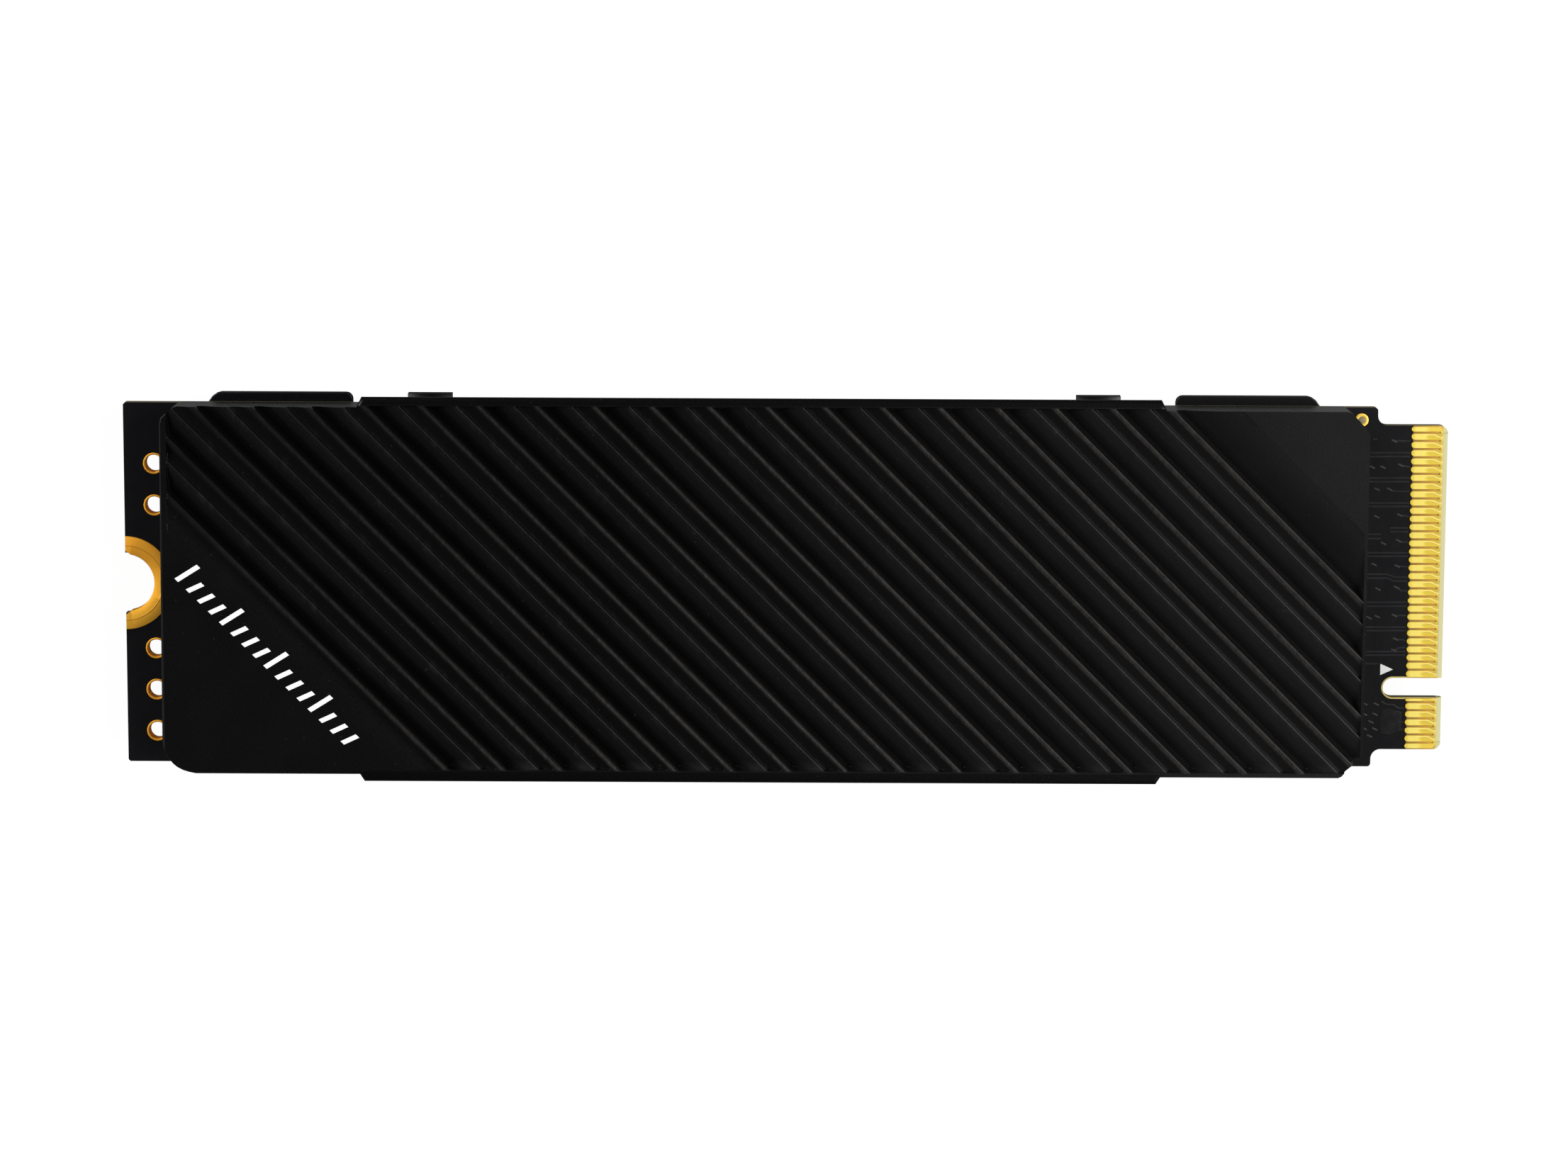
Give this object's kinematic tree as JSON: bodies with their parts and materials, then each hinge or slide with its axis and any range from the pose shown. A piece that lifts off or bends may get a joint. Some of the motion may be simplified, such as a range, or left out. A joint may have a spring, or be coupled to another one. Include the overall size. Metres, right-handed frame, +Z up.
{
  "type": "gumstick solid state drive",
  "caption": "Slim plug-in solid state drive in a black clip-on heatsink with slanted fins, with a keyed gold edge connector at one end and a half-round screw notch at the other.",
  "frame": {"origin": "middle of the board's length and width, at the height of the lower shell's flat underside", "axes": "+X along the board from the screw notch to the edge connector, +Y across the board towards the side away from the key slot, +Z up out of the finned face"},
  "size_m": [0.08, 0.0232, 0.0061],
  "materials": {
    "solder_mask": "glossy blue-black solder mask over glass-epoxy board",
    "gold_plating": "satin gold plating",
    "anodised_aluminium": "matte black anodised, fins slightly worn to grey on their crests",
    "shell_paint": "glossy black painted",
    "package_moulding": "matte black moulding",
    "ferrite": "matte dark grey ferrite",
    "metal_lid": "satin nickel",
    "thermal_silicone": "matte grey-blue silicone"
  },
  "bodies": {
    "root": {"pcb": "solder_mask", "edge_contacts_top_long": "gold_plating", "edge_contacts_top_short": "gold_plating", "edge_contacts_bottom_long": "gold_plating", "edge_contacts_bottom_short": "gold_plating", "screw_land": "gold_plating", "plated_hole_1": "gold_plating", "plated_hole_2": "gold_plating", "plated_hole_3": "gold_plating", "plated_hole_4": "gold_plating", "plated_hole_5": "gold_plating", "plated_hole_ear": "gold_plating", "heatsink": "anodised_aluminium", "lower_shell": "shell_paint", "controller": "package_moulding", "dram": "package_moulding", "nand_top_1": "package_moulding", "nand_top_2": "package_moulding", "nand_bottom_1": "package_moulding", "nand_bottom_2": "package_moulding", "power_controller": "package_moulding", "inductor_1": "ferrite", "inductor_2": "ferrite", "inductor_3": "ferrite", "crystal": "metal_lid", "thermal_pad_controller": "thermal_silicone", "thermal_pad_nand": "thermal_silicone", "thermal_pad_lower": "thermal_silicone"}
  },
  "joints": []
}
